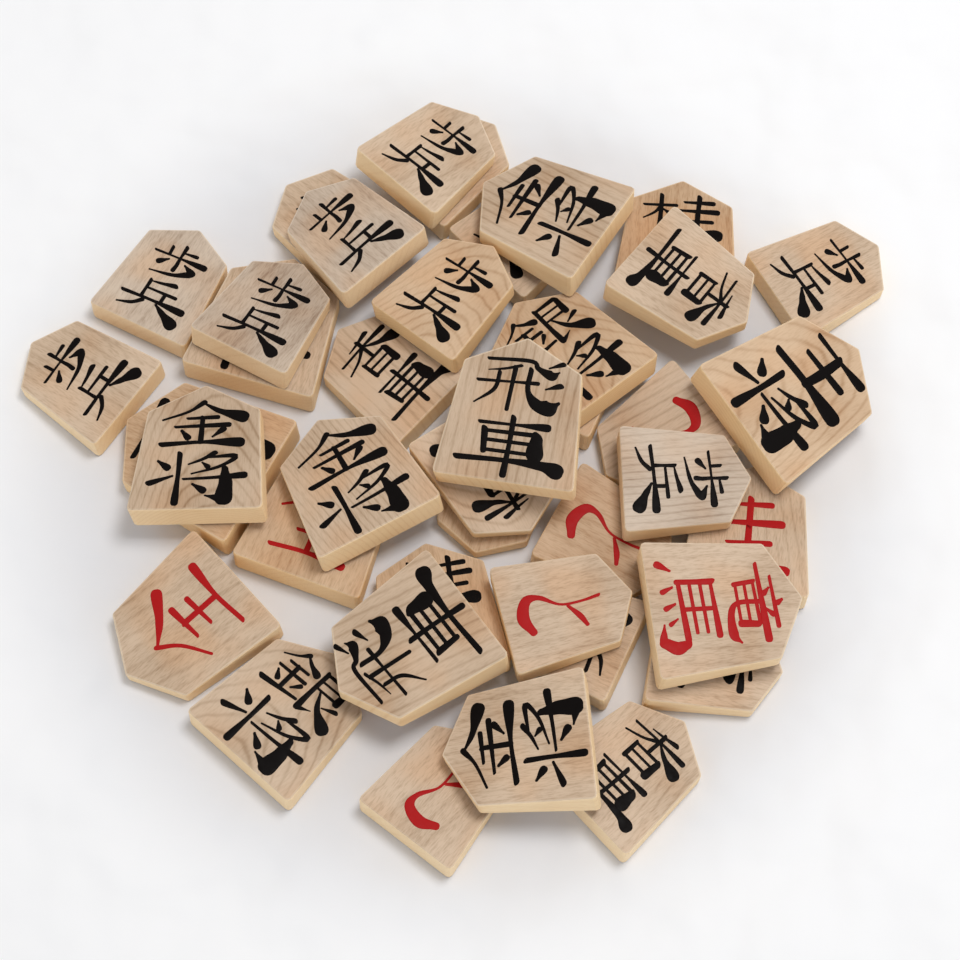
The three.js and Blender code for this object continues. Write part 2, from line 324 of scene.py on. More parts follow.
# The marks of each rank, from the apex down, on the front and on the gained side.
FRONT_MARKS: dict[Rank, tuple[Glyph, ...]] = {
    Rank.KING: (Glyph.KING, Glyph.GENERAL),
    Rank.ROOK: (Glyph.FLY, Glyph.CART),
    Rank.BISHOP: (Glyph.CORNER, Glyph.GO),
    Rank.GOLD: (Glyph.GOLD, Glyph.GENERAL),
    Rank.SILVER: (Glyph.SILVER, Glyph.GENERAL),
    Rank.KNIGHT: (Glyph.LAUREL, Glyph.HORSE),
    Rank.LANCE: (Glyph.INCENSE, Glyph.CART),
    Rank.PAWN: (Glyph.WALK, Glyph.SOLDIER),
}
BACK_MARKS: dict[Rank, tuple[Glyph, ...]] = {
    Rank.ROOK: (Glyph.DRAGON, Glyph.KING),
    Rank.BISHOP: (Glyph.DRAGON, Glyph.HORSE),
    Rank.SILVER: (Glyph.GAINED_SILVER,),
    Rank.KNIGHT: (Glyph.GAINED_KNIGHT,),
    Rank.LANCE: (Glyph.GAINED_LANCE,),
    Rank.PAWN: (Glyph.GAINED_PAWN,),
}

# The pieces that lie with their gained side up, and the one king that is marked as the jewel.
BACK_UP = {"pawn_07", "pawn_10", "pawn_11", "pawn_17", "knight_2", "silver_1", "silver_2", "bishop_2"}
JEWEL_KING = "king_1"
JEWEL_MARKS = (Glyph.JEWEL, Glyph.GENERAL)

# How heavy the strokes are on the front, on the kings' front and on the gained side.
FRONT_WEIGHT = 0.88
KING_WEIGHT = 1.08
BACK_WEIGHT = 0.82

# The ranks whose front is written smaller than usual, as a share of the usual size.
FILL_SHARES: dict[Rank, float] = {Rank.PAWN: 0.87, Rank.LANCE: 0.92}

# Boards that are not of the pale maple.
TONES: dict[str, Tone] = {
    **dict.fromkeys(("king_1", "king_2", "knight_1", "knight_3", "knight_4"), Tone.WARM),
    **dict.fromkeys(("pawn_11", "pawn_12", "pawn_15", "silver_1", "silver_4"), Tone.WARM),
    **dict.fromkeys(("pawn_04", "pawn_14", "pawn_16", "pawn_18"), Tone.GREY),
}

# Boards that show something other than plain flecked maple.
GRAINS: dict[str, Grain] = {
    **dict.fromkeys(("gold_1", "king_2", "lance_3", "pawn_15", "silver_3", "silver_4"), Grain.CATHEDRAL),
    **dict.fromkeys(("gold_2", "gold_3", "lance_2", "pawn_10"), Grain.STRIPED),
    **dict.fromkeys(("pawn_18", "rook_1", "rook_2"), Grain.STRIPED),
}

# Boards that are lighter or darker than their tone, as a share of the way to its dark colour.
DARKER_SHARES: dict[str, float] = {
    "bishop_1": 0.1,
    "bishop_2": 0.08,
    "gold_1": 0.22,
    "gold_2": 0.14,
    "gold_3": 0.22,
    "gold_4": 0.05,
    "king_1": 0.2,
    "king_2": 0.05,
    "knight_1": 0.3,
    "lance_2": -0.08,
    "lance_4": 0.05,
    "pawn_11": 0.2,
    "pawn_12": 0.15,
    "pawn_14": 0.15,
    "pawn_15": 0.06,
    "pawn_16": 0.28,
    "pawn_17": 0.08,
    "pawn_18": 0.08,
    "rook_1": 0.15,
    "rook_2": 0.25,
    "silver_1": 0.1,
    "silver_2": 0.05,
    "silver_3": 0.1,
    "silver_4": 0.18,
}


def linear(hex_colour: str) -> tuple[float, float, float, float]:
    """Turns an sRGB hex colour into Blender's linear colour.

    Args:
        hex_colour: Six digits, such as "C8AF91".

    Returns:
        Red, green, blue and an alpha of 1, each from 0 to 1.
    """
    parts = [int(hex_colour[i : i + 2], 16) / 255 for i in (0, 2, 4)]
    red, green, blue = (c / 12.92 if c <= 0.04045 else ((c + 0.055) / 1.055) ** 2.4 for c in parts)
    return (red, green, blue, 1.0)


def add_node(tree: Tree, kind: str, settings: dict[str, object], inputs: dict[int | str, object]) -> Node:
    """Adds one shader node.

    Args:
        tree: The node tree that it goes into.
        kind: The node's type name, without the leading "ShaderNode".
        settings: The node's own properties.
        inputs: What each input socket holds: a value, or the output socket that it is linked to.

    Returns:
        The new node.
    """
    node = tree.nodes.new("ShaderNode" + kind)
    for name, value in settings.items():
        setattr(node, name, value)
    for key, value in inputs.items():
        if isinstance(value, Socket):
            tree.links.new(value, node.inputs[key])
        else:
            node.inputs[key].default_value = value
    return node


@dataclass(frozen=True)
class Chance:
    """A piece's two own numbers from 0 to 1, so that no two boards look alike.

    Steps of the golden ratio never come round to the same place, so they spread evenly over a set.
    """

    first: float
    second: float

    @classmethod
    def of(cls, index: int) -> "Chance":
        """The numbers of the piece at this place in the set."""
        return cls(index * GOLDEN % 1.0, index * GOLDEN * GOLDEN * SECOND_STRIDE % 1.0)

    def pick(self, spread: Spread) -> float:
        """The spread's start, moved by its reach along each of the two numbers."""
        start, by_first, by_second = spread
        return start + by_first * self.first + by_second * self.second


@dataclass(frozen=True)
class Figure:
    """What one cut of board shows: how strong, wavy and close its rings are and how its flecks lean.

    The middle of the piece lies across and above that of the trunk by the heart sizes, and the piece
    was sawn at a slant to the trunk.
    """

    ring_share: float
    fleck_share: float
    waviness: float
    closeness: float
    slant_deg: Spread
    across_heart_mm: Spread
    above_heart_mm: Spread
    lean_deg: Spread


FIGURES: dict[Grain, Figure] = {
    Grain.STRIPED: Figure(
        ring_share=0.6,
        fleck_share=0.22,
        waviness=2.0,
        closeness=1.0,
        slant_deg=(0.0, 2.0, 0.0),
        across_heart_mm=(34.0, 0.0, 20.0),
        above_heart_mm=(9.0, 0.0, 0.0),
        lean_deg=(-5.0, 10.0, 0.0),
    ),
    Grain.CATHEDRAL: Figure(
        ring_share=0.7,
        fleck_share=0.22,
        waviness=4.5,
        closeness=0.55,
        slant_deg=(13.0, 8.0, 0.0),
        across_heart_mm=(-9.0, 0.0, 18.0),
        above_heart_mm=(15.0, 9.0, 0.0),
        lean_deg=(-5.0, 10.0, 0.0),
    ),
    Grain.FLECKED: Figure(
        ring_share=0.36,
        fleck_share=0.36,
        waviness=3.0,
        closeness=1.0,
        slant_deg=(3.0, 0.0, 0.0),
        across_heart_mm=(-22.0, -18.0, 0.0),
        above_heart_mm=(26.0, 0.0, 0.0),
        lean_deg=(-28.0, 56.0, 0.0),
    ),
}


@dataclass(frozen=True)
class FaceFrame:
    """Where one face of a piece lies: the middle of its base edge, and three unit directions."""

    origin: np.ndarray
    right: np.ndarray
    up: np.ndarray
    normal: np.ndarray
    width: float
    length: float

    def place(self, across: np.ndarray, along: np.ndarray, above: np.ndarray) -> np.ndarray:
        """Points of the face.

        Args:
            across: Distances to the right of the middle line.
            along: Distances from the base towards the apex.
            above: Distances out of the face.

        Returns:
            The points in the shared frame, with one more axis of three at the end.
        """
        return (
            self.origin
            + across[..., None] * self.right
            + along[..., None] * self.up
            + above[..., None] * self.normal
        )


@dataclass(frozen=True)
class MapleWood:
    """Sanded maple, waxed but not varnished: soft satin, with faint year rings and short ray flecks.

    The board has lighter, darker and warmer patches. The sides are paler and yellower than the faces,
    as side grain is, and are brightened further as painted light. The edges are pale from wear and as a
    painted highlight, and the lower ones are browned as painted contact shadow. A level says how
    squarely a surface faces up or down through the piece: 1 on the two faces, and 0 on an upright side.
    The shifts and depths give each piece a pattern of its own.
    """

    name: str
    face: str
    face_dark: str
    # The sides' colours: paler and yellower than the faces, as side grain is, and brightened further as
    # painted light.
    wall: str
    wall_dark: str
    # The pale colour of the edges: wear, and a painted highlight along the arris.
    edge: str
    # The brown of the painted contact shadow on the lower edges.
    painted_shadow: str = "8A5A30"
    blush: str = "FFE8D0"
    roughness: float = 0.52
    roughness_swing: tuple[float, float] = (-0.06, 0.1)
    bump_mm: float = 0.018
    ring_spacing_mm: float = 1.5
    ring_stretch: Spread = (0.75, 0.0, 0.8)
    ring_sharpness: float = 6.0
    ring_shift: float = 20.0
    skew_deg: Spread = (-11.0, 0.0, 22.0)
    fleck_width_mm: float = 0.24
    fleck_length_mm: float = 1.9
    fleck_shift: float = 40.0
    fleck_range: tuple[float, float] = (0.42, 0.72)
    cloud_size_mm: float = 14.0
    cloud_detail: float = 2.0
    cloud_depth: Spread = (0.0, 9.0, 0.0)
    cloud_range: tuple[float, float] = (0.35, 0.7)
    cloud_swing: float = 0.14
    plain_darkness: float = 0.1
    blush_size_mm: float = 11.0
    blush_detail: float = 1.0
    blush_depth: Spread = (30.0, 9.0, 0.0)
    blush_range: tuple[float, float] = (0.42, 0.72)
    blush_share: float = 0.6
    wall_levels: tuple[float, float] = (0.3, 0.8)
    wall_grain_share: float = 0.55
    arris_levels: tuple[float, float, float, float] = (0.3, 0.6, 0.85, 0.97)
    # How far the bevels take the pale edge colour: wear and painted highlight.
    wear_and_highlight_share: float = 0.7
    # How much painted shadow the downward bevels take; it is full where the facing reaches the level
    # below.
    painted_shadow_share: float = 0.6
    painted_shadow_level: float = -0.5

    def material(self, piece: str, grain: Grain, chance: Chance, turn: Matrix, centre: Vector) -> Material:
        """Makes the maple of one piece, with its grain lying along the piece.

        Args:
            piece: The node's name.
            grain: How the year rings show on the face.
            chance: The piece's own numbers, which pick the part of the board that it is cut from.
            turn: The piece's own directions as the columns of a matrix: across, along, through.
            centre: The middle of the piece.

        Returns:
            The material.
        """
        material = bpy.data.materials.new(f"{self.name} {piece}")
        material.use_nodes = True
        tree = material.node_tree
        tree.nodes.clear()
        place = add_node(tree, "TexCoord", {}, {})
        local = add_node(
            tree,
            "Mapping",
            {"vector_type": "TEXTURE"},
            {
                "Vector": place.outputs["Object"],
                "Location": centre,
                "Rotation": turn.to_euler(),
                "Scale": (MM, MM, MM),
            },
        )
        darkness = self.plain_darkness + DARKER_SHARES.get(piece, 0.0)
        figured, shade, warm = self._pattern(tree, local.outputs[0], FIGURES[grain], chance, darkness)
        through = turn.col[2]
        facing = add_node(
            tree, "VectorMath", {"operation": "DOT_PRODUCT"}, {0: place.outputs["Normal"], 1: through}
        )
        smoother, rougher = self.roughness_swing
        rough = add_node(
            tree,
            "MapRange",
            {},
            {"Value": shade, "To Min": self.roughness + smoother, "To Max": self.roughness + rougher},
        )
        bump = add_node(
            tree, "Bump", {}, {"Strength": 0.6, "Distance": self.bump_mm * MM, "Height": figured}
        )
        shader = add_node(
            tree,
            "BsdfPrincipled",
            {},
            {
                "Base Color": self._colour(tree, facing.outputs["Value"], shade, warm),
                "Roughness": rough.outputs[0],
                "Normal": bump.outputs[0],
                "IOR": 1.45,
                "Specular IOR Level": 0.35,
            },
        )
        add_node(tree, "OutputMaterial", {}, {"Surface": shader.outputs[0]})
        return material

    def _pattern(
        self, tree: Tree, local: Socket, figure: Figure, chance: Chance, darkness: float
    ) -> tuple[Socket, Socket, Socket]:
        """The pattern of the board: rings that come and go, flecks, and large soft patches.

        Args:
            tree: The material's nodes.
            local: The place in the piece, in millimetres.
            figure: What the cut of board shows.
            chance: The piece's own numbers.
            darkness: How dark the board is where its pattern is faint.

        Returns:
            The darkness of the rings and flecks, that of the whole pattern, and the strength of the
            warm patches, each from 0 to 1.
        """
        patches = (
            (self.cloud_size_mm, self.cloud_detail, self.cloud_depth),
            (self.blush_size_mm, self.blush_detail, self.blush_depth),
        )
        clouds, warmth = (
            add_node(
                tree,
                "TexNoise",
                {"noise_dimensions": "4D"},
                {
                    "Vector": local,
                    "W": chance.pick(depth),
                    "Scale": 1 / size,
                    "Detail": detail,
                    "Roughness": 0.5,
                },
            ).outputs[0]
            for size, detail, depth in patches
        )
        rings = self._rings(tree, local, figure, chance)
        flecks = self._flecks(tree, local, figure, chance)
        faded = add_node(tree, "Math", {"operation": "MULTIPLY"}, {0: rings, 1: clouds})
        ringed = add_node(
            tree, "Math", {"operation": "MULTIPLY"}, {0: faded.outputs[0], 1: figure.ring_share}
        )
        figured = add_node(
            tree,
            "Math",
            {"operation": "MULTIPLY_ADD"},
            {0: flecks, 1: figure.fleck_share, 2: ringed.outputs[0]},
        )
        clouded = add_node(
            tree,
            "MapRange",
            {"interpolation_type": "SMOOTHSTEP"},
            {
                "Value": clouds,
                "From Min": self.cloud_range[0],
                "From Max": self.cloud_range[1],
                "To Min": darkness - self.cloud_swing,
                "To Max": darkness + self.cloud_swing,
            },
        )
        shade = add_node(
            tree,
            "Math",
            {"operation": "ADD", "use_clamp": True},
            {0: figured.outputs[0], 1: clouded.outputs[0]},
        )
        warm = add_node(
            tree,
            "MapRange",
            {"interpolation_type": "SMOOTHSTEP"},
            {
                "Value": warmth,
                "From Min": self.blush_range[0],
                "From Max": self.blush_range[1],
                "To Max": self.blush_share,
            },
        )
        return figured.outputs[0], shade.outputs[0], warm.outputs[0]

    def _colour(self, tree: Tree, facing: Socket, shade: Socket, warm: Socket) -> Socket:
        """The colour of the wood on the faces, the sides and the edges between them.

        Args:
            tree: The material's nodes.
            facing: How far the surface faces the upper side, from -1 to 1.
            shade: The darkness of the pattern, from 0 to 1.
            warm: The strength of the warm patches, from 0 to 1.

        Returns:
            The colour.
        """
        plain = add_node(
            tree, "Mix", {"data_type": "RGBA"}, {0: shade, 6: linear(self.face), 7: linear(self.face_dark)}
        )
        face = add_node(
            tree,
            "Mix",
            {"data_type": "RGBA", "blend_type": "MULTIPLY"},
            {0: warm, 6: plain.outputs[2], 7: linear(self.blush)},
        )
        # The sides: paler, yellower side grain, brightened further as painted light on the walls.
        calm = add_node(tree, "Math", {"operation": "MULTIPLY"}, {0: shade, 1: self.wall_grain_share})
        wall = add_node(
            tree,
            "Mix",
            {"data_type": "RGBA"},
            {0: calm.outputs[0], 6: linear(self.wall), 7: linear(self.wall_dark)},
        )

        level = add_node(tree, "Math", {"operation": "ABSOLUTE"}, {0: facing})
        beside = add_node(
            tree,
            "MapRange",
            {"interpolation_type": "SMOOTHSTEP"},
            {
                "Value": level.outputs[0],
                "From Min": self.wall_levels[0],
                "From Max": self.wall_levels[1],
                "To Min": 1.0,
                "To Max": 0.0,
            },
        )
        # Pale bevels along the edges, top and bottom: wear, and a painted highlight along the arris.
        arris = add_node(tree, "ValToRGB", {}, {0: level.outputs[0]})
        stops = arris.color_ramp.elements
        stops[0].position, stops[1].position = self.arris_levels[:2]
        for position, strength in zip(self.arris_levels[2:], (linear("FFFFFF"), linear("000000"))):
            stops.new(position).color = strength
        wear_and_highlight = add_node(tree, "Math", {"operation": "MULTIPLY"}, {0: arris.outputs[0], 1: self.wear_and_highlight_share})
        # Painted contact shadow: the downward bevels turn brown.
        below = add_node(
            tree,
            "MapRange",
            {"interpolation_type": "SMOOTHSTEP"},
            {"Value": facing, "From Min": 0.0, "From Max": self.painted_shadow_level, "To Max": self.painted_shadow_share},
        )
        painted_shadow_mask = add_node(
            tree, "Math", {"operation": "MULTIPLY"}, {0: below.outputs[0], 1: arris.outputs[0]}
        )

        colour = face.outputs[2]
        coats = (
            (beside.outputs[0], wall.outputs[2]),
            (wear_and_highlight.outputs[0], linear(self.edge)),
            (painted_shadow_mask.outputs[0], linear(self.painted_shadow)),
        )
        for share, coat in coats:
            coated = add_node(tree, "Mix", {"data_type": "RGBA"}, {0: share, 6: colour, 7: coat})
            colour = coated.outputs[2]
        return colour

    def _rings(self, tree: Tree, local: Socket, figure: Figure, chance: Chance) -> Socket:
        """Year rings: shells round the tree's axis, which a face cuts straight or at a slant.

        Args:
            tree: The material's nodes.
            local: The place in the piece, in millimetres.
            figure: What the cut of board shows.
            chance: The piece's own numbers.

        Returns:
            The darkness of the late wood, from 0 to 1.
        """
        slant, skew = (math.radians(chance.pick(spread)) for spread in (figure.slant_deg, self.skew_deg))
        heart = (chance.pick(figure.across_heart_mm), 0.0, chance.pick(figure.above_heart_mm))
        board = add_node(
            tree, "Mapping", {}, {"Vector": local, "Location": heart, "Rotation": (slant, 0.0, skew)}
        )
        spacing = self.ring_spacing_mm * figure.closeness * chance.pick(self.ring_stretch)
        wave = add_node(
            tree,
            "TexWave",
            {"wave_type": "RINGS", "rings_direction": "Y", "wave_profile": "SIN"},
            {
                "Vector": board.outputs[0],
                "Scale": 2 * math.pi / WAVE_RATE / spacing,
                "Distortion": figure.waviness,
                "Detail": 2.0,
                "Detail Scale": 0.35,
                "Phase Offset": self.ring_shift * chance.first,
            },
        )
        late = add_node(
            tree, "Math", {"operation": "POWER"}, {0: wave.outputs["Fac"], 1: self.ring_sharpness}
        )
        return late.outputs[0]

    def _flecks(self, tree: Tree, local: Socket, figure: Figure, chance: Chance) -> Socket:
        """Ray flecks and pores: short dashes along the grain, drawn a little coarse so that they show.

        Args:
            tree: The material's nodes.
            local: The place in the piece, in millimetres.
            figure: What the cut of board shows.
            chance: The piece's own numbers.

        Returns:
            The darkness of the flecks, from 0 to 1.
        """
        along = add_node(
            tree,
            "Mapping",
            {},
            {
                "Vector": local,
                "Rotation": (0.0, 0.0, math.radians(chance.pick(figure.lean_deg))),
                "Location": (self.fleck_shift * chance.first, 0.0, 0.0),
                "Scale": (1 / self.fleck_width_mm, 1 / self.fleck_length_mm, 1 / self.fleck_width_mm),
            },
        )
        dashes = add_node(
            tree,
            "TexNoise",
            {},
            {"Vector": along.outputs[0], "Scale": 1.0, "Detail": 3.0, "Roughness": 0.55},
        )
        sharp = add_node(
            tree,
            "MapRange",
            {"interpolation_type": "SMOOTHSTEP"},
            {"Value": dashes.outputs[0], "From Min": self.fleck_range[0], "From Max": self.fleck_range[1]},
        )
        return sharp.outputs[0]


# Each maple's colours: face, dark face, side, dark side and edge. The sides are brightened as painted
# light, and the edge colour is partly a painted highlight.
MAPLES: dict[Tone, MapleWood] = {
    Tone.PALE: MapleWood("sanded pale maple", "D0B79D", "95785A", "F5DAB0", "CFA266", "EFDFC6"),
    Tone.WARM: MapleWood("sanded orange maple", "D3B595", "A37D58", "F4D4A4", "CC9A5A", "EFD8B6"),
    Tone.GREY: MapleWood("sanded grey maple", "CEBBA7", "917964", "F0D6B0", "C99C66", "E8DAC6"),
}


@dataclass(frozen=True)
class BrushInk:
    """Ink that was brushed on thick and dried: a dull sheen, and a rim that stands up a hair."""

    name: str
    colour: str
    roughness: float
    roughness_swing: tuple[float, float] = (-0.08, 0.12)
    drag_size_mm: float = 1.11
    drag_range: tuple[float, float] = (0.3, 0.7)
    drag_depth_mm: float = 0.01

    def material(self) -> Material:
        """Makes the ink's material, with a slightly uneven sheen where the brush was drier."""
        material = bpy.data.materials.new(self.name)
        material.use_nodes = True
        tree = material.node_tree
        tree.nodes.clear()
        place = add_node(tree, "TexCoord", {}, {})
        drag = add_node(
            tree,
            "TexNoise",
            {},
            {"Vector": place.outputs["Object"], "Scale": 1 / (self.drag_size_mm * MM), "Detail": 2.0},
        )
        smoother, rougher = self.roughness_swing
        rough = add_node(
            tree,
            "MapRange",
            {},
            {
                "Value": drag.outputs[0],
                "From Min": self.drag_range[0],
                "From Max": self.drag_range[1],
                "To Min": self.roughness + smoother,
                "To Max": self.roughness + rougher,
            },
        )
        bump = add_node(
            tree,
            "Bump",
            {},
            {"Strength": 0.3, "Distance": self.drag_depth_mm * MM, "Height": drag.outputs[0]},
        )
        shader = add_node(
            tree,
            "BsdfPrincipled",
            {},
            {
                "Base Color": linear(self.colour),
                "Roughness": rough.outputs[0],
                "Normal": bump.outputs[0],
                "Specular IOR Level": 0.05,
            },
        )
        add_node(tree, "OutputMaterial", {}, {"Surface": shader.outputs[0]})
        return material


BLACK_INK = BrushInk("dried black brush ink", "0D0908", 0.45)
RED_INK = BrushInk("dried red brush ink", "AA1C1D", 0.42)


@dataclass(frozen=True)
class BrushHand:
    """The brush and the hand: how thick the ink is laid, how strokes are made and where they stand.

    A box is the place of one character: its middle, its width and its height, as shares of the face.
    A width of the brush is a share of the box, and pressure makes the wide parts of a stroke wider and
    the narrow ones narrower, about the usual width.
    """

    thickness_mm: float = 0.05
    sink_mm: float = 0.03
    steps_per_span: int = 7
    cap_steps: int = 5
    cap_bluntness: float = 0.8
    pressure: float = 0.42
    usual_width_share: float = 0.065
    widest_share: float = 0.26
    slant: float = 1.0
    profile: tuple[float, ...] = (1.0, 0.9, 0.6, 0.0, -0.6, -0.9, -1.0)
    pair_boxes: tuple[Box, ...] = ((0.68, 0.62, 0.35), (0.255, 0.72, 0.38))
    single_box: tuple[Box, ...] = ((0.44, 0.62, 0.58),)
    middle_share: float = 0.46

    def _path(self, points: np.ndarray, widths: np.ndarray) -> tuple[np.ndarray, np.ndarray]:
        """A Catmull-Rom curve through a stroke's points, with a half width that grows smoothly.

        Args:
            points: The stroke's points on the face: across and along.
            widths: The brush width at each point.

        Returns:
            The points of the curve, and the half width at each.
        """
        spans = len(points) - 1
        where = np.linspace(0, spans, spans * self.steps_per_span + 1)
        span = np.minimum(where.astype(int), spans - 1)
        part = (where - span)[:, None]
        padded = np.vstack([2 * points[0] - points[1], points, 2 * points[-1] - points[-2]])
        a, b, c, d = (padded[span + i] for i in range(4))
        line = 0.5 * (
            2 * b
            + (c - a) * part
            + (2 * a - 5 * b + 4 * c - d) * part**2
            + (3 * b - 3 * c + d - a) * part**3
        )
        ease = (3 * part**2 - 2 * part**3)[:, 0]
        return line, (widths[span] * (1 - ease) + widths[span + 1] * ease) / 2

    def stroke(
        self, face: FaceFrame, points: np.ndarray, widths: np.ndarray
    ) -> tuple[np.ndarray, list[list[int]]]:
        """One brush stroke: a low dome carried along a smooth line, with the slanted ends of a brush.

        At each end the half width falls to nothing over a blunt cap. At a share t of the half width, the
        ink stands thickness * (1 - t^4) above the face, and its underside lies sunk in the wood. The tip
        of the brush points up and to the left, so the two sides of a stroke start set off along it by
        slant times the product of the tip's parts along and across the stroke, and come level by its end.

        Args:
            face: The face that is written on.
            points: The stroke's points on the face: across and along.
            widths: The brush width at each point.

        Returns:
            The vertices and the faces of a closed mesh.
        """
        line, half = self._path(points, widths)
        travel = np.gradient(line, axis=0)
        travel /= np.linalg.norm(travel, axis=1)[:, None]
        turn = np.linspace(0, np.pi / 2, self.cap_steps + 2)[1:-1]
        rise, fall = np.sin(turn), np.cos(turn)
        start = line[0] - travel[0] * (half[0] * fall)[:, None]
        end = line[-1] + travel[-1] * (half[-1] * rise)[:, None]
        middle = np.vstack([start, line, end])
        half = np.concatenate(
            [half[0] * rise**self.cap_bluntness, half, half[-1] * fall**self.cap_bluntness]
        )
        first, last = (np.repeat(travel[[i]], len(turn), 0) for i in (0, -1))
        travel = np.vstack([first, travel, last])
        side = np.stack([-travel[:, 1], travel[:, 0]], axis=1)
        body = np.concatenate([np.sqrt(rise), np.ones(len(line)), np.sqrt(fall)])

        across = np.array(self.profile)
        lift = self.thickness_mm * MM * (1 - across**4)
        under = across[::-1][1:-1:2]
        ring = np.concatenate([across, under])
        heights = np.concatenate([lift, np.zeros(len(under))])
        sunk = np.concatenate([np.zeros(len(lift)), np.full(len(under), -self.sink_mm * MM)])
        tip = np.array([-math.sqrt(0.5), math.sqrt(0.5)])
        shear = self.slant * (travel @ tip) * (side @ tip) * np.linspace(1, 0, len(half))
        out = half[:, None] * ring[None, :]
        flat = middle[:, None, :] + side[:, None, :] * out[..., None]
        flat = flat + travel[:, None, :] * (shear[:, None] * out)[..., None]
        above = body[:, None] * heights[None, :] + sunk[None, :]
        vertices = face.place(flat[..., 0], flat[..., 1], above).reshape(-1, 3)

        count, rows = len(ring), len(middle)
        row = np.arange(rows - 1)[:, None] * count
        here = np.arange(count)[None, :]
        beside = (here + 1) % count
        quads = np.stack([row + here, row + beside, row + count + beside, row + count + here], axis=-1)
        faces = quads.reshape(-1, 4).tolist()
        faces.append(list(range(count))[::-1])
        faces.append(list(range((rows - 1) * count, rows * count)))
        return vertices, faces

    def write(
        self, face: FaceFrame, glyphs: tuple[Glyph, ...], weight: float, fill: float
    ) -> tuple[np.ndarray, list[list[int]]]:
        """Writes one or two characters down the middle of a face.

        Args:
            face: The face that is written on.
            glyphs: The characters, from the apex down.
            weight: How heavy the strokes are, as a share of the widths in their rows.
            fill: How large the writing is, as a share of its usual size about its own middle.

        Returns:
            The vertices and faces of all the strokes.
        """
        boxes = self.single_box if len(glyphs) == 1 else self.pair_boxes
        all_vertices: list[np.ndarray] = []
        all_faces: list[list[int]] = []
        offset = 0
        for glyph, (middle, width, height) in zip(glyphs, boxes):
            box_width = width * fill * face.width
            box_height = height * fill * face.length
            box_middle = (self.middle_share + (middle - self.middle_share) * fill) * face.length
            for stroke in STROKES[glyph]:
                across, up, brush = np.array(stroke, float).T / HUNDREDTHS
                points = np.stack(
                    [(across - 0.5) * box_width, (up - 0.5) * box_height + box_middle], axis=1
                )
                widths = brush * (brush / self.usual_width_share) ** self.pressure
                widths = np.minimum(widths * weight, self.widest_share) * (box_width + box_height) / 2
                vertices, faces = self.stroke(face, points, widths)
                all_vertices.append(vertices)
                all_faces += [[i + offset for i in loop] for loop in faces]
                offset += len(vertices)
        return np.vstack(all_vertices), all_faces


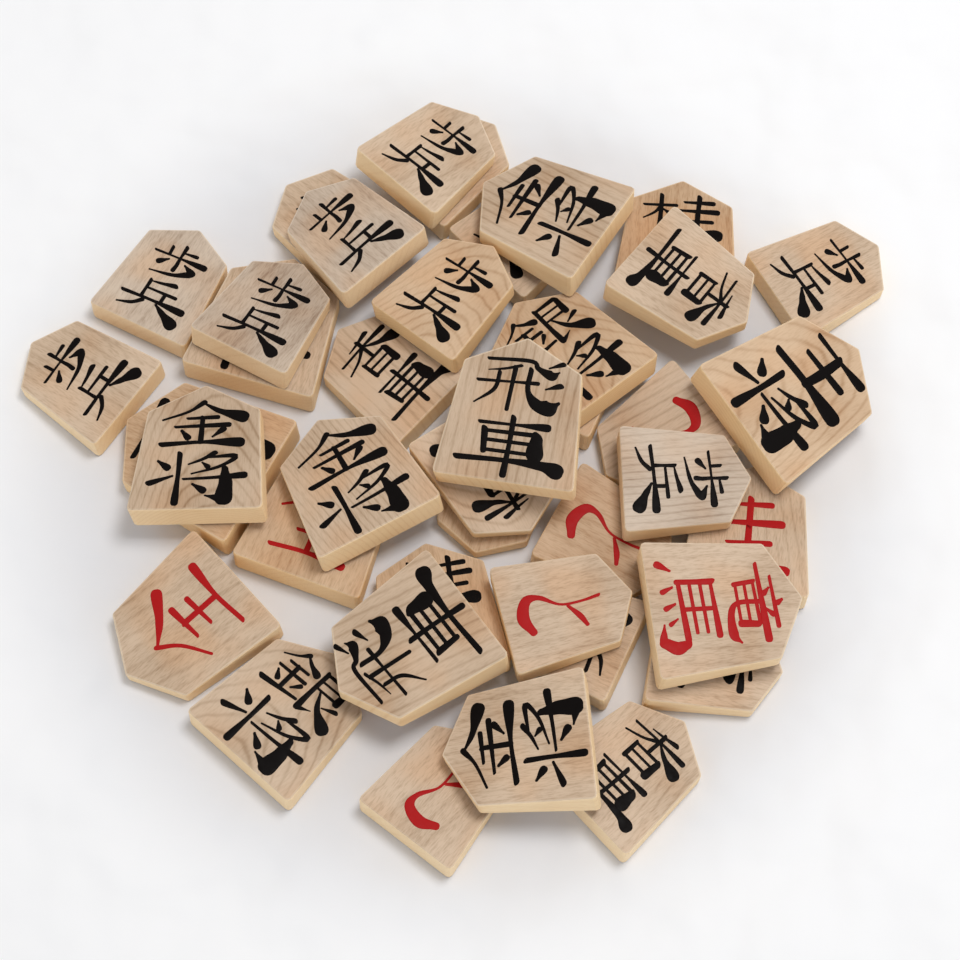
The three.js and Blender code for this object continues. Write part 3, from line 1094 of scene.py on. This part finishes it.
@dataclass
class Koma:
    """One piece of the set: its solid, its two faces, its wood and the marks on it."""

    name: str
    index: int
    solid: bpy.types.Object
    rank: Rank = field(init=False)
    tone: Tone = field(init=False)
    grain: Grain = field(init=False)
    upper: FaceFrame = field(init=False)
    lower: FaceFrame = field(init=False)

    def __post_init__(self) -> None:
        """Works out the rank, the wood and where the two faces lie."""
        self.rank = Rank(self.name.rsplit("_", 1)[0])
        self.tone = TONES.get(self.name, Tone.PALE)
        self.grain = GRAINS.get(self.name, Grain.FLECKED)
        self.upper, self.lower = self._faces()

    def _faces(self) -> tuple[FaceFrame, FaceFrame]:
        """Finds the two faces: the two largest planes of the solid. The third largest is the base."""
        mesh = self.solid.data
        mesh.calc_loop_triangles()
        points = np.empty(len(mesh.vertices) * 3)
        mesh.vertices.foreach_get("co", points)
        points = points.reshape(-1, 3)
        corners = np.empty(len(mesh.loop_triangles) * 3, int)
        mesh.loop_triangles.foreach_get("vertices", corners)
        first, second, third = points[corners.reshape(-1, 3)].transpose(1, 0, 2)
        doubled = np.cross(second - first, third - first)
        areas = np.linalg.norm(doubled, axis=1)
        normals = doubled / np.maximum(areas, SLIVER_AREA)[:, None]

        planes: list[tuple[float, np.ndarray, np.ndarray]] = []
        free = areas > SLIVER_AREA
        while free.any():
            lead = normals[np.argmax(np.where(free, areas, 0.0))]
            same = free & (normals @ lead > SAME_PLANE)
            planes.append((areas[same].sum(), lead, first[same].mean(axis=0)))
            free &= ~same
        planes.sort(key=lambda plane: -plane[0])
        base = planes[2][1]
        high, low = sorted(planes[:2], key=lambda plane: -plane[1][2])
        return self._frame(points, high, base), self._frame(points, low, base)

    def _frame(
        self, points: np.ndarray, plane: tuple[float, np.ndarray, np.ndarray], base: np.ndarray
    ) -> FaceFrame:
        """The frame of one face.

        Args:
            points: All the points of the solid.
            plane: The face's doubled area, its outward direction and a point in it.
            base: The outward direction of the base.

        Returns:
            The face's frame, with its origin in the middle of the base edge.
        """
        _, normal, point = plane
        up = -base + (base @ normal) * normal
        up /= np.linalg.norm(up)
        right = np.cross(up, normal)
        across = (points - point) @ right
        along = (points - point) @ up
        origin = point + right * (across.min() + across.max()) / 2 + up * along.min()
        return FaceFrame(origin, right, up, normal, np.ptp(across), np.ptp(along))

    def dress(self) -> None:
        """Gives the solid its maple, with the grain along the piece."""
        through = self.upper.normal - self.lower.normal
        through /= np.linalg.norm(through)
        across = self.upper.right
        along = np.cross(through, across)
        turn = Matrix([[*row] for row in np.stack([across, along, through], axis=1)])
        middle = Vector((self.upper.origin + self.lower.origin) / 2 + along * self.upper.length / 2)
        wood = MAPLES[self.tone].material(self.name, self.grain, Chance.of(self.index), turn, middle)
        self.solid.data.materials.clear()
        self.solid.data.materials.append(wood)

    def mark(self, hand: BrushHand, black: Material, red: Material) -> int:
        """Writes the rank on the front face, and on the gained side where the rank has one.

        Args:
            hand: The brush and the hand.
            black: The ink of the front.
            red: The ink of the gained side.

        Returns:
            The number of faces that the marks have.
        """
        front_face, back_face = self.upper, self.lower
        if self.name in BACK_UP:
            front_face, back_face = back_face, front_face
        front = JEWEL_MARKS if self.name == JEWEL_KING else FRONT_MARKS[self.rank]
        weight = KING_WEIGHT if self.rank is Rank.KING else FRONT_WEIGHT
        vertices, faces = hand.write(front_face, front, weight, FILL_SHARES.get(self.rank, 1.0))
        slots = [0] * len(faces)
        if self.rank in BACK_MARKS:
            more, more_faces = hand.write(back_face, BACK_MARKS[self.rank], BACK_WEIGHT, 1.0)
            faces += [[i + len(vertices) for i in loop] for loop in more_faces]
            slots += [1] * len(more_faces)
            vertices = np.vstack([vertices, more])
        mesh = bpy.data.meshes.new(f"marks_{self.name}")
        mesh.from_pydata(vertices.tolist(), [], faces)
        mesh.materials.append(black)
        mesh.materials.append(red)
        mesh.polygons.foreach_set("material_index", slots)
        mesh.polygons.foreach_set("use_smooth", [True] * len(faces))
        mesh.update()
        marks = bpy.data.objects.new(f"marks_{self.name}", mesh)
        bpy.context.scene.collection.objects.link(marks)
        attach(marks, "root")
        return len(faces)


@dataclass(frozen=True)
class ClothTable:
    """The table: a bleached cotton cloth, dull and softly folded, a shade darker under and round the heap.

    The darker colour under and round the heap is painted shade. It fades to white outside, and gives
    way by a hair under the pieces, so that the ink of their undersides stays clear of it.
    """

    half_size: float = 1.2
    # The colour near the heap is darkened as painted shade; the rim colour is the cloth's white further
    # out.
    colour: str = "E2E2E5"
    rim_colour: str = "F7F7F8"
    shaded_reach: tuple[float, float] = (0.066, 0.100)
    give: float = 0.0001
    fold_width: float = 0.024
    fold_height: float = 0.004

    def build(self) -> None:
        """Lays the ground flat at the height of the table."""
        mesh = bpy.data.meshes.new("ground")
        outline = [(x * self.half_size, y * self.half_size, -self.give) for x, y in SQUARE]
        mesh.from_pydata(outline, [], [(0, 1, 2, 3)])
        mesh.materials.append(self._material())
        ground = bpy.data.objects.new("ground", mesh)
        bpy.context.scene.collection.objects.link(ground)

    def _material(self) -> Material:
        """Makes the cloth's material, with its folds as relief only."""
        material = bpy.data.materials.new("bleached cotton cloth")
        material.use_nodes = True
        tree = material.node_tree
        tree.nodes.clear()
        place = add_node(tree, "TexCoord", {}, {})
        folds = add_node(
            tree,
            "TexNoise",
            {},
            {
                "Vector": place.outputs["Object"],
                "Scale": 1 / self.fold_width,
                "Detail": 2.0,
                "Roughness": 0.4,
            },
        )
        relief = add_node(
            tree, "Bump", {}, {"Strength": 1.0, "Distance": self.fold_height, "Height": folds.outputs[0]}
        )
        # Painted shade: the cloth is darker round the middle of the heap and turns white beyond the shaded
        # reach.
        reach = add_node(tree, "VectorMath", {"operation": "LENGTH"}, {0: place.outputs["Object"]})
        near, far = self.shaded_reach
        outside = add_node(
            tree,
            "MapRange",
            {"interpolation_type": "SMOOTHSTEP"},
            {"Value": reach.outputs["Value"], "From Min": near, "From Max": far},
        )
        colour = add_node(
            tree,
            "Mix",
            {"data_type": "RGBA"},
            {0: outside.outputs[0], 6: linear(self.colour), 7: linear(self.rim_colour)},
        )
        shader = add_node(
            tree,
            "BsdfPrincipled",
            {},
            {
                "Base Color": colour.outputs[2],
                "Roughness": 0.9,
                "Specular IOR Level": 0.1,
                "Normal": relief.outputs[0],
            },
        )
        add_node(tree, "OutputMaterial", {}, {"Surface": shader.outputs[0]})
        return material


@dataclass(frozen=True)
class Studio:
    """The camera at the photograph's angle, a broad soft lamp and a white room."""

    elevation_deg: float = 68.3
    distance: float = 0.5072
    lens_mm: float = 97.5
    sensor_mm: float = 36.0
    clip: tuple[float, float] = (0.01, 20.0)
    aim: tuple[float, float] = (0.0048, -0.0008)
    key_power: float = 3.3
    key_size: float = 0.26
    key_place: tuple[float, float, float] = (0.2, 0.1, 0.8)
    wall_strength: float = 1.25
    ceiling_strength: float = 0.25

    def camera(self) -> None:
        """Puts the camera up and makes it the scene's own."""
        data = bpy.data.cameras.new("camera")
        data.lens = self.lens_mm
        data.sensor_width = self.sensor_mm
        data.clip_start, data.clip_end = self.clip
        camera = bpy.data.objects.new("camera", data)
        bpy.context.scene.collection.objects.link(camera)
        rise = math.radians(self.elevation_deg)
        back = Vector((0.0, -math.cos(rise), math.sin(rise)))
        camera.location = Vector((*self.aim, 0.0)) + back * self.distance
        camera.rotation_euler = (math.pi / 2 - rise, 0.0, 0.0)
        bpy.context.scene.camera = camera

    def lamp(self) -> None:
        """Hangs the broad lamp, which looks at the middle of the heap."""
        data = bpy.data.lights.new("soft key", "AREA")
        data.shape = "SQUARE"
        data.size = self.key_size
        data.energy = self.key_power
        lamp = bpy.data.objects.new("soft key", data)
        bpy.context.scene.collection.objects.link(lamp)
        lamp.location = self.key_place
        lamp.rotation_euler = (-Vector(self.key_place)).to_track_quat("-Z", "Y").to_euler()

    def room(self) -> None:
        """Lights the room: bright walls and a dim ceiling on the object, and white where it is seen."""
        world = bpy.data.worlds.new("white room")
        world.use_nodes = True
        tree = world.node_tree
        tree.nodes.clear()
        towards = add_node(tree, "TexCoord", {}, {})
        rise = add_node(tree, "SeparateXYZ", {}, {0: towards.outputs["Generated"]})
        glow = add_node(
            tree,
            "MapRange",
            {},
            {"Value": rise.outputs["Z"], "To Min": self.wall_strength, "To Max": self.ceiling_strength},
        )
        seen = add_node(tree, "LightPath", {}, {})
        strength = add_node(
            tree, "Mix", {}, {0: seen.outputs["Is Camera Ray"], 2: glow.outputs[0], 3: 1.0}
        )
        light = add_node(
            tree, "Background", {}, {"Color": linear("FFFFFF"), "Strength": strength.outputs[0]}
        )
        add_node(tree, "OutputWorld", {}, {"Surface": light.outputs[0]})
        bpy.context.scene.world = world


def main() -> None:
    """Loads the frame, dresses each piece, writes its marks and sets the stage."""
    logging.basicConfig(level=logging.INFO, format="%(message)s")
    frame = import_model()
    bpy.context.scene.view_settings.view_transform = "Standard"

    black, red = BLACK_INK.material(), RED_INK.material()
    hand = BrushHand()
    for index, (name, solid) in enumerate(sorted(frame["nodes"].items())):
        koma = Koma(name, index, solid)
        koma.dress()
        count = koma.mark(hand, black, red)
        log.info("%s: %s %s, %d mark faces", name, koma.tone.name.lower(), koma.grain.value, count)

    ClothTable().build()
    studio = Studio()
    studio.camera()
    studio.lamp()
    studio.room()


if __name__ == "__main__":
    main()
